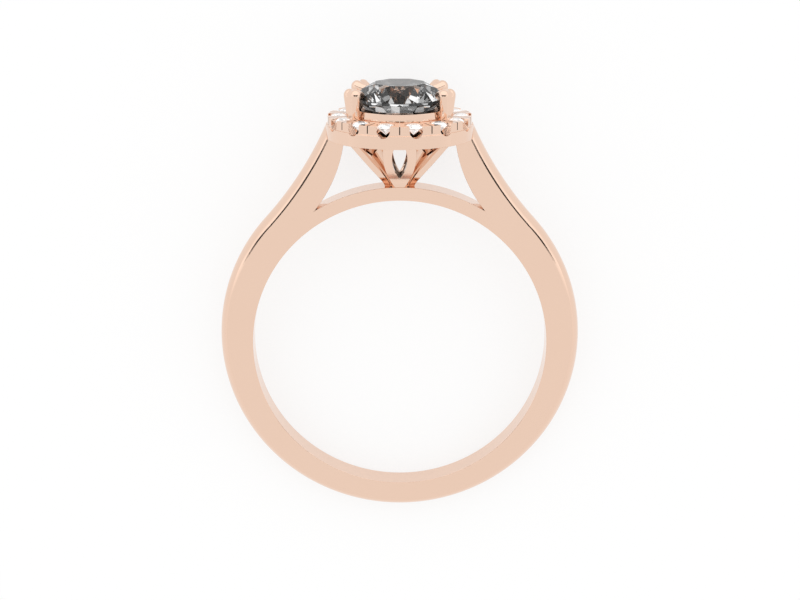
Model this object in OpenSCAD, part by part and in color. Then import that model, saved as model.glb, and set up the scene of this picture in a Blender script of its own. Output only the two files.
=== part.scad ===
// Halo ring: a round centre stone in four double claws, a halo of small stones,
// cathedral shoulders and a petal basket on a slim bridge over the finger.
// The ring is drawn standing, finger hole along Y, and is then laid on its back.

/* [Band] */
// Inside diameter of the finger hole
finger_d = 16.5; // [14:0.25:20]
// Width of the band along the finger
band_w = 1.7; // [1.4:0.05:2.4]
// Metal under the finger, over the crest
band_bottom_t = 1.47; // [1.2:0.05:2]
// Metal beside the finger, over the crest
band_side_t = 1.83; // [1.5:0.05:2.2]
// Height of the domed crest over the flat sides
crest_h = 0.4; // [0.2:0.05:0.5]

/* [Shoulders and bridge] */
// Thickness of the bridge under the head
bridge_t = 0.75; // [0.6:0.05:0.9]
// Angle from the top at which a shoulder leaves the round band
shoulder_start = 48; // [46:1:52]
// Radius of the hollow sweep along a shoulder's crest
shoulder_sweep_r = 20; // [18:0.5:24]
// Radius of a shoulder's inner edge
shoulder_inner_r = 7.8; // [7:0.1:8.6]
// Distance from the middle of the ring to a shoulder's inner edge, at the halo
shoulder_inner_x = 3.05; // [2.9:0.05:3.3]
// Distance from the middle of the ring to the foot of a shoulder's inner edge
shoulder_foot_x = 4.72; // [4.5:0.05:4.9]

/* [Basket] */
// Height from the bridge to the underside of the halo
basket_h = 2.7; // [2.5:0.05:3.1]
// Radius of the basket at its foot
basket_foot_r = 0.78; // [0.7:0.02:0.85]
// Radius of the basket under the halo
basket_top_r = 3.02; // [2.7:0.02:3.02]
// Thickness of a petal, of which part stands proud of the web
petal_t = 0.42; // [0.36:0.02:0.5]
// How far a petal stands proud of the web behind it
petal_proud = 0.2; // [0.1:0.02:0.26]
// Half the width of a petal at its widest
petal_half_w = 0.92; // [0.85:0.01:0.95]
// Radius of a petal's long curved sides
petal_side_r = 3.9; // [3.5:0.1:4.3]
// Half the width of the pointed window in a petal
window_half_w = 0.41; // [0.3:0.01:0.46]
// Half the height of the pointed window
window_half_h = 1.3; // [1.1:0.05:1.35]
// Depth of the notch between two petals, below the halo
notch_h = 0.8; // [0.4:0.05:1]

/* [Halo] */
// Outside diameter of the halo
halo_d = 8.16; // [7.9:0.02:8.6]
// Height of the plain outer wall of the halo
rim_h = 0.72; // [0.6:0.02:0.9]
// Height of the cut blocks that stand over the wall
block_h = 0.5; // [0.4:0.02:0.56]
// Ledge between the wall and the blocks
ledge_w = 0.1; // [0.06:0.01:0.14]
// Diameter of a small stone
halo_stone_d = 0.94; // [0.9:0.01:1]
// Metal between a small stone and the outside of the halo
halo_edge_w = 0.24; // [0.22:0.01:0.3]
// Radius of the round cut in front of a small stone
scallop_r = 0.36; // [0.3:0.01:0.4]
// Width of the slit that splits each block into two prongs
slit_w = 0.06; // [0.05:0.01:0.14]
// Diameter of the light hole under a small stone
light_hole_d = 0.5; // [0.4:0.02:0.6]

/* [Centre stone and claws] */
// Diameter of the centre stone
centre_d = 5; // [4.8:0.05:5.1]
// Height of the stone's edge over the top of the halo's blocks
centre_lift = 0.93; // [0.9:0.01:1.1]
// Height of the rail under the centre stone, over the blocks
rail_h = 0.42; // [0.3:0.02:0.46]
// Outside radius of the rail at its foot
rail_r = 2.63; // [2.5:0.01:2.66]
// Angle of a front claw from the front of the ring
front_claw_angle = 61.5; // [60:0.5:63]
// Angle of a back claw from the back of the ring
back_claw_angle = 49.5; // [48:0.5:52]
// Angle that each claw faces, from the front or the back of the ring
claw_face_angle = 45; // [40:1:50]
// Distance from the middle of the stone to the middle of a claw's foot
claw_foot_r = 2.8; // [2.76:0.01:2.84]
// Distance from the middle of the stone to the middle of a claw's tips
claw_tip_r = 2.9; // [2.86:0.01:2.94]
// Radius of one tip of a double claw
claw_tip_size = 0.33; // [0.3:0.01:0.35]
// Distance between the two tips of a claw
claw_tip_gap = 0.46; // [0.4:0.01:0.5]
// Radius of each half of a claw at its foot
claw_foot_size = 0.27; // [0.24:0.01:0.28]
// Distance between the two halves of a claw at its foot
claw_foot_gap = 0.2; // [0.16:0.01:0.26]
// Height of a claw over the table of the stone, which it nearly reaches
claw_over_table = -0.15; // [-0.2:0.01:-0.05]
// Radius of the round end of each half, bent over the stone's edge
claw_hook_size = 0.28; // [0.25:0.01:0.3]
// How far the bent end reaches in from the middle of the claw
claw_hook_reach = 0.4; // [0.34:0.01:0.44]

/* [Fit] */
// Gap between a stone and its seat
stone_gap = 0.02; // [0.01:0.005:0.03]

/* [Hidden] */
$fn = 64;
// How far a cut runs past what it cuts
over = 0.05;
rose_gold = [0.91, 0.72, 0.63];
grey_stone = [0.45, 0.46, 0.47];
clear_stone = [0.88, 0.9, 0.92];

// Band, seen along the finger: the crest is a circle set a little above the finger hole
finger_r = finger_d / 2;
crest_side = finger_r + band_side_t;
crest_bottom = finger_r + band_bottom_t;
crest_r = (pow(crest_side, 2) + pow(crest_bottom, 2)) / (2 * crest_bottom);
crest_z = crest_r - crest_bottom;
crest_arc_r = (pow(band_w / 2, 2) + pow(crest_h, 2)) / (2 * crest_h);
// The outline stands this far outside the crest before the crest is turned on it
crest_spare = 0.4;
crest_cut_depth = 2;

// Bridge and the heights above it
bridge_r = finger_r + bridge_t;
halo_z = bridge_r + basket_h;
ledge_z = halo_z + rim_h;
block_z = ledge_z + block_h;
halo_r = halo_d / 2;
block_r = halo_r - ledge_w;

// Shoulder: its hollow circle nips a hair into the band's circle, so that the two cross cleanly
sweep_nip = 0.01;
sweep_reach = crest_r + shoulder_sweep_r - sweep_nip;
sweep_x = sweep_reach * sin(shoulder_start);
sweep_z = crest_z + sweep_reach * cos(shoulder_start);
sweep_turn = 22;
sweep_lead = 4;
foot_z = sqrt(pow(bridge_r, 2) - pow(shoulder_foot_x, 2));
inner_run = [shoulder_inner_x - shoulder_foot_x, halo_z - foot_z];
inner_half = norm(inner_run) / 2;
inner_reach = sqrt(pow(shoulder_inner_r, 2) - pow(inner_half, 2)) / (2 * inner_half);
inner_x = (shoulder_inner_x + shoulder_foot_x) / 2 + inner_run[1] * inner_reach;
inner_z = (halo_z + foot_z) / 2 - inner_run[0] * inner_reach;
shoulder_top_z = ledge_z - 0.1;

// Basket: its foot is sunk in the bridge, and petals and windows are widest this far under the halo
basket_sink = 0.2;
petal_drop = 0.55;
petal_mid_z = halo_z - petal_drop;
window_drop = 0.85;
window_mid_z = halo_z - window_drop;
notch_spread = 1.5;
// The round web is this much thicker on its inside than the flat petals
web_spare = 0.04;

// Round cut: its proportions, as shares of its diameter
table_share = 0.57;
crown_share = 0.155;
girdle_share = 0.03;
pavilion_share = 0.43;
// How far the stars reach towards the edge, and where the long lower facets end
star_share = 0.5;
low_share = 0.24;
// Where a star's point lies, as a share of the radius, and how far it is below the table, as a share of
// the diameter
star_reach = table_share + star_share * (1 - table_share) / cos(22.5);
star_drop = (star_reach * cos(22.5) - table_share) * crown_share / (1 - table_share);

// Halo: each block between two small stones is split into two prongs
halo_stones = 14;
halo_pitch = 360 / halo_stones;
halo_stone_r = halo_r - halo_edge_w - halo_stone_d / 2;
halo_sink = 0.13;
halo_edge_z = block_z - halo_sink * halo_stone_d;
seat_h = 0.3;
scallop_rise = 0.23;
scallop_z = ledge_z + scallop_rise;
slit_rise = 0.08;
slit_z = ledge_z + slit_rise;
plate_rise = 0.44;
plate_z = ledge_z + plate_rise;
plate_wall = 0.05;
plate_r = halo_stone_r - halo_stone_d / 2 - plate_wall;
rim_chamfer = 0.05;

// Centre stone
centre_edge_z = block_z + centre_lift;
centre_turn = 22.5;
centre_table_z = centre_edge_z + (crown_share + girdle_share / 2) * centre_d;
slant_gap = 1.5 * stone_gap;
culet_hole_r = 0.9;
rail_z = block_z + rail_h;
rail_slant = 3.5;
rail_top_r = rail_r - (rail_z - plate_z) * tan(rail_slant);
tip_z = centre_table_z + claw_over_table - claw_tip_size;
claw_foot_z = ledge_z;
claw_web_share = 0.93;
claw_web_foot = 0.1;
claw_hook_gap = 0.26;
claw_hook_drop = 0.15;

// Laid on its back, the ring touches at the halo's lower edge and the band's bottom edge
face_bottom = crest_bottom - crest_h;
tilt = atan((halo_r - band_w / 2) / (halo_z + face_bottom));
lift = halo_r * cos(tilt) - halo_z * sin(tilt);
top_y = table_share * centre_d / 2 * sin(tilt) + centre_table_z * cos(tilt);
bottom_y = crest_arc_r + (crest_bottom - crest_arc_r) * cos(tilt);
middle_y = (top_y - bottom_y) / 2;

// Lays a standing ring on its back
module laid() {
    translate([0, -middle_y, lift]) rotate([tilt - 90, 0, 0]) children();
}

// Turns a drawing of the ring's front into a slab of a given thickness
module front_slab(t) {
    rotate([90, 0, 0]) translate([0, 0, -t / 2]) linear_extrude(t) children();
}

// What lies outside the crest in the band's section, with the crest at x = 0 and the metal at x > 0
module crest_cut_section() {
    half_w = band_w / 2 + over;
    difference() {
        translate([-crest_cut_depth, -half_w]) square([crest_cut_depth + 2 * crest_h, 2 * half_w]);
        translate([crest_arc_r, 0]) circle(crest_arc_r, $fn = 96);
    }
}

// What is turned away outside the domed crest of the round band
module band_crest_cut() {
    translate([0, 0, crest_z]) rotate([90, 0, 0]) rotate([0, 0, 90 + shoulder_start])
        rotate_extrude(angle = 360 - 2 * shoulder_start, $fn = 128)
            translate([crest_r, 0]) mirror([1, 0]) crest_cut_section();
}

// What is turned away outside the domed crest of the right shoulder
module shoulder_crest_cut() {
    translate([sweep_x, 0, sweep_z]) rotate([90, 0, 0]) rotate([0, 0, 270 - shoulder_start - sweep_turn])
        rotate_extrude(angle = sweep_turn + sweep_lead, $fn = 128)
            translate([shoulder_sweep_r, 0]) crest_cut_section();
}

// The outline of the right shoulder, seen along the finger, a little outside its crest
module shoulder_outline() {
    difference() {
        intersection() {
            translate([inner_x, inner_z]) circle(shoulder_inner_r, $fn = 128);
            translate([0, finger_r / 2]) square([crest_r, shoulder_top_z - finger_r / 2]);
        }
        translate([sweep_x, sweep_z]) circle(shoulder_sweep_r - crest_spare, $fn = 256);
    }
}

// The open space under the halo, between the bridge and the two shoulders
module cathedral_window() {
    difference() {
        translate([-shoulder_foot_x - over, foot_z - over])
            square([2 * (shoulder_foot_x + over), halo_z - foot_z + 2 * over]);
        circle(bridge_r, $fn = 128);
        for (side = [-1, 1])
            translate([side * inner_x, inner_z]) circle(shoulder_inner_r, $fn = 128);
    }
}

// Band, bridge and shoulders: one flat outline with a domed crest turned on it
module hoop() {
    difference() {
        front_slab(band_w) difference() {
            union() {
                difference() {
                    translate([0, crest_z]) circle(crest_r + crest_spare, $fn = 128);
                    cathedral_window();
                }
                shoulder_outline();
                mirror([1, 0]) shoulder_outline();
            }
            circle(finger_r, $fn = 128);
        }
        band_crest_cut();
        shoulder_crest_cut();
        mirror([1, 0, 0]) shoulder_crest_cut();
    }
}

// The section of the basket's wall, between an outer line set in by a given amount and its inner line
module basket_section(set_in, wall) {
    foot = bridge_r - basket_sink;
    knee = bridge_r + over;
    outer_foot = basket_foot_r - set_in;
    outer_top = basket_top_r - set_in;
    polygon([
        [outer_foot - wall, foot],
        [outer_foot, foot],
        [outer_foot, knee],
        [outer_top, halo_z],
        [outer_top, halo_z + over],
        [outer_top - wall, halo_z + over],
        [outer_top - wall, halo_z],
        [outer_foot - wall, knee]
    ]);
}

// A pointed oval standing on its end, from two arcs
module pointed_oval(half_w, arc_r) {
    intersection() {
        translate([half_w - arc_r, 0]) circle(arc_r, $fn = 96);
        translate([arc_r - half_w, 0]) circle(arc_r, $fn = 96);
    }
}

// One flat petal at the front of the basket
module petal() {
    half = petal_half_w + over;
    intersection() {
        translate([-half, 0, 0]) rotate([90, 0, 90]) linear_extrude(2 * half)
            mirror([1, 0]) basket_section(0, petal_t);
        translate([0, 0, petal_mid_z]) front_slab(3 * basket_top_r) pointed_oval(petal_half_w, petal_side_r);
    }
}

// Four petals with their windows, and the notched round web that joins them
module basket() {
    window_arc_r = (pow(window_half_h, 2) + pow(window_half_w, 2)) / (2 * window_half_w);
    notch_half_w = notch_spread * notch_h;
    through = 3 * basket_top_r;
    difference() {
        union() {
            difference() {
                rotate_extrude() basket_section(petal_proud, petal_t - petal_proud + web_spare);
                for (turn = [45, 135])
                    rotate([0, 0, turn]) translate([0, 0, halo_z - notch_h]) front_slab(through)
                        polygon([[0, 0], [notch_half_w, notch_h], [notch_half_w, notch_h + 2 * over],
                            [-notch_half_w, notch_h + 2 * over], [-notch_half_w, notch_h]]);
            }
            for (turn = [0 : 90 : 270])
                rotate([0, 0, turn]) petal();
        }
        for (turn = [0, 90])
            rotate([0, 0, turn]) translate([0, 0, window_mid_z]) front_slab(through)
                pointed_oval(window_half_w, window_arc_r);
    }
}

// The turned body of the halo with the rail under the centre stone
module halo_body() {
    rotate_extrude($fn = 128) polygon([
        [centre_hole_r(halo_z), halo_z],
        [halo_r, halo_z],
        [halo_r, ledge_z - rim_chamfer],
        [halo_r - rim_chamfer, ledge_z],
        [block_r, ledge_z],
        [block_r, block_z],
        [plate_r, block_z],
        [plate_r, plate_z],
        [rail_r, plate_z],
        [rail_top_r, rail_z],
        [centre_hole_r(rail_z), rail_z]
    ]);
}

// Radius of the hole that clears the lower cone of the centre stone
function centre_hole_r(z) = max(culet_hole_r, cone_r(z) + slant_gap);
function cone_r(z) = centre_d / 2 * (z - centre_culet_z()) / (pavilion_share * centre_d);
function centre_culet_z() = centre_edge_z - (pavilion_share + girdle_share / 2) * centre_d;

// Seat, light hole and front scallop for one small stone, drawn at the front of the halo
module stone_seat() {
    r = halo_stone_d / 2 + stone_gap;
    edge = halo_edge_z - girdle_share * halo_stone_d - stone_gap;
    cone_h = pavilion_share * halo_stone_d;
    reach = halo_r - halo_stone_r + 2 * over;
    translate([0, -halo_stone_r, edge]) cylinder(r = r, h = seat_h);
    translate([0, -halo_stone_r, edge - cone_h]) cylinder(r1 = stone_gap, r2 = r, h = cone_h);
    translate([0, -halo_stone_r, halo_z - over]) cylinder(d = light_hole_d, h = edge - halo_z);
    translate([0, over - halo_stone_r - reach / 2, scallop_z]) front_slab(reach) {
        circle(scallop_r);
        translate([-scallop_r, 0]) square([2 * scallop_r, block_z - scallop_z + over]);
    }
}

// Slit between two prongs, drawn at the front of the halo
module prong_slit() {
    translate([-slit_w / 2, -halo_r - over, slit_z])
        cube([slit_w, halo_r - plate_r + 2 * over, block_z - slit_z + over]);
}

// The halo and the claws that stand on it, with all the cuts for the small stones
module head() {
    difference() {
        union() {
            halo_body();
            claws();
        }
        for (i = [0 : halo_stones - 1]) {
            rotate([0, 0, (i + 0.5) * halo_pitch]) stone_seat();
            rotate([0, 0, i * halo_pitch]) prong_slit();
        }
    }
}

// Half of a double claw: a tapered round bar with a domed tip
module half_claw(rise) {
    rotate_extrude($fn = 32) {
        polygon([[0, 0], [claw_foot_size, 0], [claw_tip_size, rise], [0, rise]]);
        intersection() {
            translate([0, rise]) circle(claw_tip_size, $fn = 48);
            translate([0, rise - over]) square(2 * claw_tip_size);
        }
    }
}

// One double claw, drawn at the front and turned on its foot: two tapered halves, a web between them,
// and two round ends that bend over the stone
module claw(twist) {
    rise = tip_z - claw_foot_z;
    reach = atan((claw_tip_r - claw_foot_r) / rise);
    lean = atan((claw_tip_gap - claw_foot_gap) / 2 / rise);
    web_half = claw_foot_size * claw_web_share;
    translate([0, -claw_foot_r, claw_foot_z]) rotate([reach, 0, 0]) rotate([0, 0, twist]) {
        for (side = [-1, 1]) {
            translate([side * claw_foot_gap / 2, 0, 0]) rotate([0, side * lean, 0]) half_claw(rise);
            translate([side * claw_hook_gap / 2, claw_hook_reach, rise - claw_hook_drop])
                sphere(claw_hook_size, $fn = 48);
        }
        rotate([90, 0, 0]) translate([0, 0, -web_half]) linear_extrude(2 * web_half) polygon([
            [-claw_foot_gap / 2, claw_web_foot],
            [claw_foot_gap / 2, claw_web_foot],
            [claw_tip_gap / 2, rise],
            [-claw_tip_gap / 2, rise]
        ]);
    }
}

// The space of the centre stone with its gap, turned round
module centre_stone_space() {
    r = centre_d / 2 + stone_gap;
    low = centre_edge_z - girdle_share * centre_d / 2 - stone_gap;
    high = centre_edge_z + girdle_share * centre_d / 2 + stone_gap;
    rotate_extrude($fn = 96) polygon([
        [0, centre_culet_z() - slant_gap],
        [r, low],
        [r, high],
        [star_reach * centre_d / 2 + stone_gap, centre_table_z - star_drop * centre_d + stone_gap],
        [table_share * centre_d / 2 + stone_gap, centre_table_z + stone_gap],
        [0, centre_table_z + stone_gap]
    ]);
}

// The four claws, clear of the centre stone
module claws() {
    difference() {
        for (side = [-1, 1]) {
            rotate([0, 0, side * front_claw_angle]) claw(side * (claw_face_angle - front_claw_angle));
            rotate([0, 0, side * (180 - back_claw_angle)]) claw(side * (back_claw_angle - claw_face_angle));
        }
        centre_stone_space();
    }
}

// A round cut stone with its edge at z = 0: table, 8 stars, 8 kites and 16 halves above the edge,
// 16 halves and 8 kites below it
module round_cut(d) {
    r = d / 2;
    half_edge = girdle_share * d / 2;
    table_r = table_share * r;
    table_z = half_edge + crown_share * d;
    star_r = star_reach * r;
    star_z = table_z - star_drop * d;
    culet_z = -half_edge - pavilion_share * d;
    low_r = low_share * r;
    low_z = culet_z + low_r * cos(22.5) * pavilion_share * d / r;
    points = concat(
        [for (k = [0 : 7]) [table_r * cos(45 * k), table_r * sin(45 * k), table_z]],
        [for (k = [0 : 7]) [star_r * cos(45 * k + 22.5), star_r * sin(45 * k + 22.5), star_z]],
        [for (k = [0 : 15]) [r * cos(22.5 * k), r * sin(22.5 * k), half_edge]],
        [for (k = [0 : 15]) [r * cos(22.5 * k), r * sin(22.5 * k), -half_edge]],
        [for (k = [0 : 7]) [low_r * cos(45 * k + 22.5), low_r * sin(45 * k + 22.5), low_z]],
        [[0, 0, culet_z]]
    );
    star = 8;
    top = 16;
    low = 32;
    deep = 48;
    culet = 56;
    faces = concat(
        [[for (k = [7 : -1 : 0]) k]],
        [for (k = [0 : 7]) [k, (k + 1) % 8, star + k]],
        [for (k = [0 : 7]) [k, star + k, top + 2 * k]],
        [for (k = [0 : 7]) [k, top + 2 * k, star + (k + 7) % 8]],
        [for (k = [0 : 7]) [star + k, top + 2 * k + 1, top + 2 * k]],
        [for (k = [0 : 7]) [star + k, top + (2 * k + 2) % 16, top + 2 * k + 1]],
        [for (k = [0 : 15]) [top + k, top + (k + 1) % 16, low + (k + 1) % 16]],
        [for (k = [0 : 15]) [top + k, low + (k + 1) % 16, low + k]],
        [for (k = [0 : 7]) [deep + k, low + 2 * k, low + 2 * k + 1]],
        [for (k = [0 : 7]) [deep + k, low + 2 * k + 1, low + (2 * k + 2) % 16]],
        [for (k = [0 : 7]) [culet, low + 2 * k, deep + k]],
        [for (k = [0 : 7]) [culet, deep + (k + 7) % 8, low + 2 * k]]
    );
    polyhedron(points, faces);
}

// All the soldered metal as one piece
module ring_mounting() {
    color(rose_gold) laid() {
        hoop();
        basket();
        head();
    }
}

// The centre stone, resting over the rail, with a star point at its front
module centre_stone() {
    color(grey_stone) laid()
        translate([0, 0, centre_edge_z]) rotate([0, 0, centre_turn]) round_cut(centre_d);
}

// A small stone, counted round from the front of the halo
module halo_stone(number) {
    color(clear_stone) laid() rotate([0, 0, (number - 0.5) * halo_pitch])
        translate([0, -halo_stone_r, halo_edge_z]) round_cut(halo_stone_d);
}

ring_mounting();
centre_stone();
halo_stone(1);  // halo_stone_01
halo_stone(2);  // halo_stone_02
halo_stone(3);  // halo_stone_03
halo_stone(4);  // halo_stone_04
halo_stone(5);  // halo_stone_05
halo_stone(6);  // halo_stone_06
halo_stone(7);  // halo_stone_07
halo_stone(8);  // halo_stone_08
halo_stone(9);  // halo_stone_09
halo_stone(10);  // halo_stone_10
halo_stone(11);  // halo_stone_11
halo_stone(12);  // halo_stone_12
halo_stone(13);  // halo_stone_13
halo_stone(14);  // halo_stone_14
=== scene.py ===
"""Looks of a halo ring: band, basket, halo, claws and cut stones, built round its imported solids."""

import logging
from collections.abc import Callable
from dataclasses import dataclass
from enum import Enum
from math import asin, atan, atan2, cos, exp, hypot, log, pi, radians, sin, sqrt

import bmesh
import bpy
from bmesh.types import BMEdge, BMFace, BMesh, BMVert
from mathutils import Matrix, Vector


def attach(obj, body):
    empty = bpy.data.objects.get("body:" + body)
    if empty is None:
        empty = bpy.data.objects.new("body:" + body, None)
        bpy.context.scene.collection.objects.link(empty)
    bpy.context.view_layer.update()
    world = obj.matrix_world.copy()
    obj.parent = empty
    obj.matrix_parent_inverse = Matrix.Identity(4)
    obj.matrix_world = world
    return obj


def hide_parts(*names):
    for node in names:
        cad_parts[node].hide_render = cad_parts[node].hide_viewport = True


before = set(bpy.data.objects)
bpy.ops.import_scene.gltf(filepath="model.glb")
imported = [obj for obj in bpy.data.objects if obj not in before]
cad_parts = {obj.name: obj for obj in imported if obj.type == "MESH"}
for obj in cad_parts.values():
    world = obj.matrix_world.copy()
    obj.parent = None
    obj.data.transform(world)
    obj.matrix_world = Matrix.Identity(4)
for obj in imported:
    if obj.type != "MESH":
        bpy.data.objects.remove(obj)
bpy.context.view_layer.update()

MM = 0.001
# Points nearer than this many millimetres are one point
TINY = 1e-4
# How far a cut runs past what it cuts, in millimetres
OVER = 0.1
# Half the turn between two corners of a cut stone's table
STEP = pi / 8
# The name under which a cut stone's facets keep their painted shine: how light or dark each facet is
# painted, in place of its reflections
PAINTED_FACET_SHINE = "facet"
ROUND_Z = {"cent": (0, 0, 0), "axis": (0, 0, 1), "dvec": (0, 0, 0)}
LOG = logging.getLogger("halo_ring")

Colour = tuple[float, float, float, float]
Stops = tuple[tuple[float, float], ...]
Points = list[tuple[float, float]]
Parts = list[BMVert | BMEdge | BMFace]
Side = Callable[[float], float]
Skin = Callable[[float, float], float]


class Slot(Enum):
    """The record's material slots."""

    ROSE_GOLD = "rose_gold"
    GREY_STONE = "grey_stone"
    CLEAR_STONE = "clear_stone"


# Shader bench


class Socket:
    """One value in a shader, which takes part in Python arithmetic."""

    def __init__(self, bench: "Bench", link: bpy.types.NodeSocket) -> None:
        """Wraps an output socket of the bench's tree."""
        self.bench = bench
        self.link = link

    def _maths(self, operation: str, first: "Socket | float", second: "Socket | float") -> "Socket":
        """Adds one Math node."""
        return self.bench.add("ShaderNodeMath", {"operation": operation}, {0: first, 1: second})

    def __add__(self, other: "Socket | float") -> "Socket":
        """Sum."""
        return self._maths("ADD", self, other)

    def __sub__(self, other: "Socket | float") -> "Socket":
        """Difference."""
        return self._maths("SUBTRACT", self, other)

    def __rsub__(self, other: "Socket | float") -> "Socket":
        """Difference, from a number."""
        return self._maths("SUBTRACT", other, self)

    def __mul__(self, other: "Socket | float") -> "Socket":
        """Product."""
        return self._maths("MULTIPLY", self, other)

    __radd__ = __add__
    __rmul__ = __mul__

    def over(self, limit: float) -> "Socket":
        """1 where the value is over a limit, else 0."""
        return self._maths("GREATER_THAN", self, limit)

    def size(self) -> "Socket":
        """The value without its sign."""
        return self._maths("ABSOLUTE", self, 0.0)

    def share(self) -> "Socket":
        """The value's place between -1 and 1, from 0 to 1."""
        return self * 0.5 + 0.5


def grey(value: float) -> Colour:
    """A grey as a colour."""
    return (value, value, value, 1.0)


class Bench:
    """Adds nodes to one shader tree, which reads where a point is in one kind of coordinates."""

    def __init__(self, tree: bpy.types.NodeTree, space: str) -> None:
        """Clears the tree.

        Args:
            tree: the tree.
            space: the kind of coordinates.
        """
        self.tree = tree
        tree.nodes.clear()
        self.place = self.add("ShaderNodeTexCoord", out=space)

    def add(
        self, kind: str, settings: dict | None = None, inputs: dict | None = None, out: int | str = 0
    ) -> Socket | None:
        """Adds any node.

        Args:
            kind: the node's type.
            settings: the node's own settings.
            inputs: values or sockets by input name or number.
            out: the output that is wanted.

        Returns:
            The wanted output, wrapped, or None where the node has no output.
        """
        node = self.tree.nodes.new(kind)
        for key, value in (settings or {}).items():
            setattr(node, key, value)
        for key, value in (inputs or {}).items():
            if isinstance(value, Socket):
                self.tree.links.new(value.link, node.inputs[key])
            else:
                node.inputs[key].default_value = value
        return Socket(self, node.outputs[out]) if len(node.outputs) else None

    def ramp(self, value: Socket, stops: Stops) -> Socket:
        """Looks a value up on a grey ramp with straight runs between its stops.

        Args:
            value: the value that is looked up.
            stops: places on the ramp and how bright each is.

        Returns:
            The ramp's grey there.
        """
        result = self.add("ShaderNodeValToRGB", None, {0: value})
        elements = result.link.node.color_ramp.elements
        while len(elements) < len(stops):
            elements.new(0.5)
        for element, (place, bright) in zip(elements, stops):
            element.position = place
            element.color = grey(bright)
        return result

    def noise(self, scale: float, detail: float, place: Socket | None = None) -> Socket:
        """Looks a place up in a soft noise, the bench's own where none is given."""
        inputs = {"Vector": place or self.place, "Scale": scale, "Detail": detail}
        return self.add("ShaderNodeTexNoise", None, inputs)

    def cells(self, scale: float) -> Socket:
        """Gives each cell of space a value of its own."""
        colour = self.add("ShaderNodeTexVoronoi", None, {"Vector": self.place, "Scale": scale}, out="Color")
        return self.add("ShaderNodeSeparateColor", None, {0: colour})

    def mix(self, share: Socket, first: Colour, second: Colour) -> Socket:
        """Mixes two colours."""
        return self.add("ShaderNodeMix", {"data_type": "RGBA"}, {0: share, 6: first, 7: second}, out=2)


# Finishes


class Finish:
    """How a surface looks."""

    def make(self, name: str) -> bpy.types.Material:
        """Builds the material.

        Args:
            name: its name.

        Returns:
            The material.
        """
        material = bpy.data.materials.new(name)
        material.use_nodes = True
        bench = Bench(material.node_tree, "Object")
        bench.add("ShaderNodeOutputMaterial", None, {"Surface": self.shader(bench)})
        return material

    def shader(self, bench: Bench) -> Socket:
        """Builds the shader, in each kind of finish."""
        raise NotImplementedError


@dataclass(frozen=True)
class RoseGold(Finish):
    """Polished rose gold with faint wheel marks."""

    colour: Colour = (0.85, 0.62, 0.49, 1.0)
    warm: Colour = (0.82, 0.58, 0.45, 1.0)
    gloss: float = 0.035
    haze: float = 0.03
    mottle: float = 0.5
    cloud_scale: float = 260.0
    mark_scale: tuple[float, float, float] = (900.0, 900.0, 14000.0)
    mark_haze: float = 0.012
    mark_strength: float = 0.05
    mark_depth: float = 2e-7

    def shader(self, bench: Bench) -> Socket:
        """Builds the shader.

        Args:
            bench: adds its nodes.

        Returns:
            The shader.
        """
        cloud = bench.noise(self.cloud_scale, 3.0)
        grain = bench.add("ShaderNodeMapping", None, {"Vector": bench.place, "Scale": self.mark_scale})
        marks = bench.noise(1.0, 2.0, grain)
        relief = {"Strength": self.mark_strength, "Distance": self.mark_depth, "Height": marks}
        return bench.add(
            "ShaderNodeBsdfPrincipled",
            None,
            {
                "Base Color": bench.mix(cloud * self.mottle, self.colour, self.warm),
                "Metallic": 1.0,
                "Roughness": cloud * self.haze + self.gloss + marks * self.mark_haze,
                "Normal": bench.add("ShaderNodeBump", None, relief),
            },
        )


@dataclass(frozen=True)
class CutStone(Finish):
    """A cut stone, clear or tinted through and through, each facet and small cell painted lighter or darker
    as painted reflections and glints, with a faint painted glow.
    """

    tint_and_shine: Stops
    refraction: float
    clear: float
    mirror: float = 1.0
    glint_cell_scale: float = 900.0
    painted_sparkle_glow: float = 0.0
    facet_share: float = 0.75
    cloud_scale: float = 900.0
    haze: float = 0.01

    def shader(self, bench: Bench) -> Socket:
        """Builds the shader.

        Args:
            bench: adds its nodes.

        Returns:
            The shader.
        """
        # Painted reflections: the facet number and the cells pick a tone from near black to white, standing
        # in for the bright and dark facets and glints that light gives a cut stone
        facet = bench.add("ShaderNodeAttribute", {"attribute_name": PAINTED_FACET_SHINE}, out="Fac")
        cells = bench.cells(self.glint_cell_scale)
        tone = bench.ramp(facet * self.facet_share + cells * (1.0 - self.facet_share), self.tint_and_shine)
        return bench.add(
            "ShaderNodeBsdfPrincipled",
            None,
            {
                "Base Color": tone,
                "Roughness": bench.noise(self.cloud_scale, 4.0) * self.haze,
                "IOR": self.refraction,
                "Specular Tint": grey(self.mirror),
                "Transmission Weight": self.clear,
                # Painted glow: the stone gives off light in its painted tone, though it is no lamp
                "Emission Color": tone,
                "Emission Strength": self.painted_sparkle_glow,
            },
        )


@dataclass(frozen=True)
class PaleFloor(Finish):
    """A plain white table, lit softly from below as on a light table."""

    white: float = 0.9
    worn: float = 0.99
    cloud_scale: float = 8.0
    glow: float = 0.7
    strength: float = 1.03

    def shader(self, bench: Bench) -> Socket:
        """Builds the shader.

        Args:
            bench: adds its nodes.

        Returns:
            The shader.
        """
        cloud = bench.noise(self.cloud_scale, 2.0)
        tone = bench.mix(cloud, grey(self.white), grey(self.white * self.worn))
        cloth = bench.add("ShaderNodeBsdfDiffuse", None, {"Color": tone})
        light = bench.add("ShaderNodeEmission", None, {"Color": grey(1.0), "Strength": self.strength})
        return bench.add("ShaderNodeMixShader", None, {0: self.glow, 1: cloth, 2: light})


# How the ring lies, and how a shape becomes a piece of it


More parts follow.
